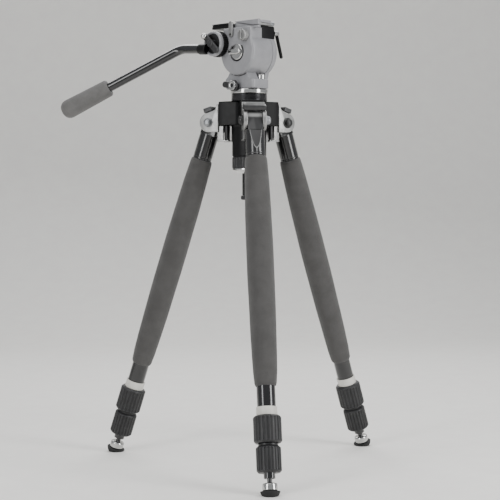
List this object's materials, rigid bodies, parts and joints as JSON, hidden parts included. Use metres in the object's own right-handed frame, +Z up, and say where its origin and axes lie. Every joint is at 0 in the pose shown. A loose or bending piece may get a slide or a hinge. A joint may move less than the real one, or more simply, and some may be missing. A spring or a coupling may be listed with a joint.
{
  "type": "tripod with fluid video head",
  "caption": "Fluid video head with a bent pan handle on a splayed tripod with foam-sleeved telescopic legs, twist collars and a short centre column.",
  "frame": {"origin": "on the floor, under the middle of the bounding box", "axes": "+Z is up, along the column and the longest extent; -Y is the side of the front leg; the pan handle points to -X"},
  "size_m": [0.685, 0.513, 0.9191],
  "materials": {
    "grey_paint": "satin",
    "black_casting": "satin",
    "satin_alloy": "satin",
    "gloss_black_tube": "gloss",
    "bright_chrome": "polished",
    "turned_steel": "satin",
    "grey_foam": "matte",
    "ribbed_rubber": "matte",
    "foot_rubber": "matte"
  },
  "bodies": {
    "spider": {"spider": "black_casting", "hinge_clevis_right": "satin_alloy", "hinge_clevis_left": "satin_alloy", "hinge_clevis_front": "satin_alloy", "hinge_bolt_right": "turned_steel", "hinge_bolt_left": "turned_steel", "hinge_bolt_front": "turned_steel"},
    "angle_catch_right": {"angle_catch_right": "satin_alloy"},
    "leg_right": {"leg_fitting_right": "black_casting", "upper_tube_right": "gloss_black_tube", "foam_sleeve_right": "grey_foam"},
    "upper_collar_right": {"upper_collar_right": "ribbed_rubber"},
    "middle_section_right": {"middle_tube_right": "gloss_black_tube"},
    "lower_collar_right": {"lower_collar_right": "ribbed_rubber"},
    "lower_section_right": {"lower_tube_right": "gloss_black_tube", "foot_ferrule_right": "bright_chrome", "foot_pad_right": "foot_rubber"},
    "angle_catch_left": {"angle_catch_left": "satin_alloy"},
    "leg_left": {"leg_fitting_left": "black_casting", "upper_tube_left": "gloss_black_tube", "foam_sleeve_left": "grey_foam"},
    "upper_collar_left": {"upper_collar_left": "ribbed_rubber"},
    "middle_section_left": {"middle_tube_left": "gloss_black_tube"},
    "lower_collar_left": {"lower_collar_left": "ribbed_rubber"},
    "lower_section_left": {"lower_tube_left": "gloss_black_tube", "foot_ferrule_left": "bright_chrome", "foot_pad_left": "foot_rubber"},
    "angle_catch_front": {"angle_catch_front": "satin_alloy"},
    "leg_front": {"leg_fitting_front": "black_casting", "upper_tube_front": "gloss_black_tube", "foam_sleeve_front": "grey_foam"},
    "upper_collar_front": {"upper_collar_front": "ribbed_rubber"},
    "middle_section_front": {"middle_tube_front": "gloss_black_tube"},
    "lower_collar_front": {"lower_collar_front": "ribbed_rubber"},
    "lower_section_front": {"lower_tube_front": "gloss_black_tube", "foot_ferrule_front": "bright_chrome", "foot_pad_front": "foot_rubber"},
    "column": {"column_tube": "gloss_black_tube", "column_cap": "ribbed_rubber", "head_plate": "turned_steel", "pan_ring": "bright_chrome"},
    "column_collar": {"column_collar": "ribbed_rubber"},
    "pan_base": {"head_base": "grey_paint", "tilt_shaft": "turned_steel", "bubble_level": "bright_chrome"},
    "pan_lock_lever": {"pan_lock_lever": "grey_paint"},
    "tilt_head": {"tilt_drum": "grey_paint", "spring_housing": "black_casting", "rosette": "black_casting"},
    "tilt_drag_knob": {"tilt_drag_knob": "bright_chrome"},
    "tilt_lock_knob": {"tilt_lock_knob": "grey_paint"},
    "handle": {"handle_clamp": "grey_paint", "handle_tube": "gloss_black_tube", "handle_grip": "grey_foam"},
    "clamp_lever": {"clamp_lever": "black_casting"},
    "spring_lever": {"spring_lever": "black_casting"},
    "plate_lever": {"plate_lever": "satin_alloy"},
    "plate": {"plate_bed": "black_casting", "camera_plate": "grey_paint"},
    "camera_screw": {"camera_screw": "turned_steel"}
  },
  "joints": [
    {"name": "angle_catch_right_lift", "type": "slide", "parent": "spider", "child": "angle_catch_right", "axis": [0.2532, 0.1462, 0.9563], "range_m": [0, 0.005], "stiffness_N_per_m": 800},
    {"name": "leg_right_fold", "type": "hinge", "parent": "spider", "child": "leg_right", "pos_m": [0.12135, 0.12057, 0.71178], "axis": [-0.5, 0.866, 0], "range_deg": [0, 18.37]},
    {"name": "upper_collar_right_twist", "type": "hinge", "parent": "leg_right", "child": "upper_collar_right", "pos_m": [0.29221, 0.21921, 0.11768], "axis": [-0.2729, -0.1576, 0.949], "range_deg": [0, 90]},
    {"name": "middle_section_right_slide", "type": "slide", "parent": "leg_right", "child": "middle_section_right", "axis": [0.2729, 0.1576, -0.949], "range_m": [0, 0.4]},
    {"name": "lower_collar_right_twist", "type": "hinge", "parent": "middle_section_right", "child": "lower_collar_right", "pos_m": [0.30749, 0.22804, 0.06453], "axis": [-0.2729, -0.1576, 0.949], "range_deg": [0, 90]},
    {"name": "lower_section_right_slide", "type": "slide", "parent": "middle_section_right", "child": "lower_section_right", "axis": [0.2729, 0.1576, -0.949], "range_m": [0, 0.44]},
    {"name": "angle_catch_left_lift", "type": "slide", "parent": "spider", "child": "angle_catch_left", "axis": [-0.2532, 0.1462, 0.9563], "range_m": [0, 0.005], "stiffness_N_per_m": 800},
    {"name": "leg_left_fold", "type": "hinge", "parent": "spider", "child": "leg_left", "pos_m": [-0.02241, 0.12057, 0.71178], "axis": [-0.5, -0.866, 0], "range_deg": [0, 18.37]},
    {"name": "upper_collar_left_twist", "type": "hinge", "parent": "leg_left", "child": "upper_collar_left", "pos_m": [-0.19326, 0.21921, 0.11768], "axis": [0.2729, -0.1576, 0.949], "range_deg": [0, 90]},
    {"name": "middle_section_left_slide", "type": "slide", "parent": "leg_left", "child": "middle_section_left", "axis": [-0.2729, 0.1576, -0.949], "range_m": [0, 0.4]},
    {"name": "lower_collar_left_twist", "type": "hinge", "parent": "middle_section_left", "child": "lower_collar_left", "pos_m": [-0.20855, 0.22804, 0.06453], "axis": [0.2729, -0.1576, 0.949], "range_deg": [0, 90]},
    {"name": "lower_section_left_slide", "type": "slide", "parent": "middle_section_left", "child": "lower_section_left", "axis": [-0.2729, 0.1576, -0.949], "range_m": [0, 0.44]},
    {"name": "angle_catch_front_lift", "type": "slide", "parent": "spider", "child": "angle_catch_front", "axis": [0, -0.2924, 0.9563], "range_m": [0, 0.005], "stiffness_N_per_m": 800},
    {"name": "leg_front_fold", "type": "hinge", "parent": "spider", "child": "leg_front", "pos_m": [0.04947, -0.00393, 0.71178], "axis": [1, 0, 0], "range_deg": [0, 18.37]},
    {"name": "upper_collar_front_twist", "type": "hinge", "parent": "leg_front", "child": "upper_collar_front", "pos_m": [0.04947, -0.20121, 0.11768], "axis": [0, 0.3152, 0.949], "range_deg": [0, 90]},
    {"name": "middle_section_front_slide", "type": "slide", "parent": "leg_front", "child": "middle_section_front", "axis": [0, -0.3152, -0.949], "range_m": [0, 0.4]},
    {"name": "lower_collar_front_twist", "type": "hinge", "parent": "middle_section_front", "child": "lower_collar_front", "pos_m": [0.04947, -0.21886, 0.06453], "axis": [0, 0.3152, 0.949], "range_deg": [0, 90]},
    {"name": "lower_section_front_slide", "type": "slide", "parent": "middle_section_front", "child": "lower_section_front", "axis": [0, -0.3152, -0.949], "range_m": [0, 0.44]},
    {"name": "column_lift", "type": "slide", "parent": "spider", "child": "column", "axis": [0, 0, 1], "range_m": [0, 0.045]},
    {"name": "column_collar_twist", "type": "hinge", "parent": "spider", "child": "column_collar", "pos_m": [0.04947, 0.07907, 0.625], "axis": [0, 0, 1], "range_deg": [0, 90]},
    {"name": "pan", "type": "hinge", "parent": "column", "child": "pan_base", "pos_m": [0.04947, 0.07907, 0.77978], "axis": [0, 0, 1], "continuous": true},
    {"name": "pan_lock", "type": "hinge", "parent": "pan_base", "child": "pan_lock_lever", "pos_m": [0.01317, 0.05569, 0.78608], "axis": [-0.7869, -0.617, 0], "range_deg": [0, 60]},
    {"name": "tilt", "type": "hinge", "parent": "pan_base", "child": "tilt_head", "pos_m": [0.04947, 0.07907, 0.85508], "axis": [-0.7869, -0.617, 0], "range_deg": [-75, 45]},
    {"name": "tilt_drag_turn", "type": "hinge", "parent": "tilt_head", "child": "tilt_drag_knob", "pos_m": [0.018, 0.05439, 0.85508], "axis": [-0.7869, -0.617, 0], "range_deg": [-135, 135]},
    {"name": "tilt_lock_turn", "type": "hinge", "parent": "tilt_head", "child": "tilt_lock_knob", "pos_m": [0.03123, 0.03427, 0.88708], "axis": [-0.7869, -0.617, 0], "range_deg": [0, 120]},
    {"name": "handle_angle", "type": "hinge", "parent": "tilt_head", "child": "handle", "pos_m": [-0.02404, 0.0837, 0.87358], "axis": [-0.7869, -0.617, 0], "range_deg": [-60, 30]},
    {"name": "clamp_lever_turn", "type": "hinge", "parent": "handle", "child": "clamp_lever", "pos_m": [-0.03034, 0.07876, 0.87358], "axis": [0.7869, 0.617, 0], "range_deg": [0, 35]},
    {"name": "spring_lever_turn", "type": "hinge", "parent": "tilt_head", "child": "spring_lever", "pos_m": [0.10378, 0.07464, 0.89458], "axis": [-0.7869, -0.617, 0], "range_deg": [0, 60]},
    {"name": "plate_lever_turn", "type": "hinge", "parent": "tilt_head", "child": "plate_lever", "pos_m": [0.00975, 0.06572, 0.89128], "axis": [-0.7869, -0.617, 0], "range_deg": [0, 50]},
    {"name": "plate_slide", "type": "slide", "parent": "tilt_head", "child": "plate", "axis": [0.617, -0.7869, 0], "range_m": [-0.02, 0.03]},
    {"name": "camera_screw_turn", "type": "hinge", "parent": "plate", "child": "camera_screw", "pos_m": [0.05671, 0.06822, 0.91508], "axis": [0, 0, 1], "continuous": true}
  ]
}
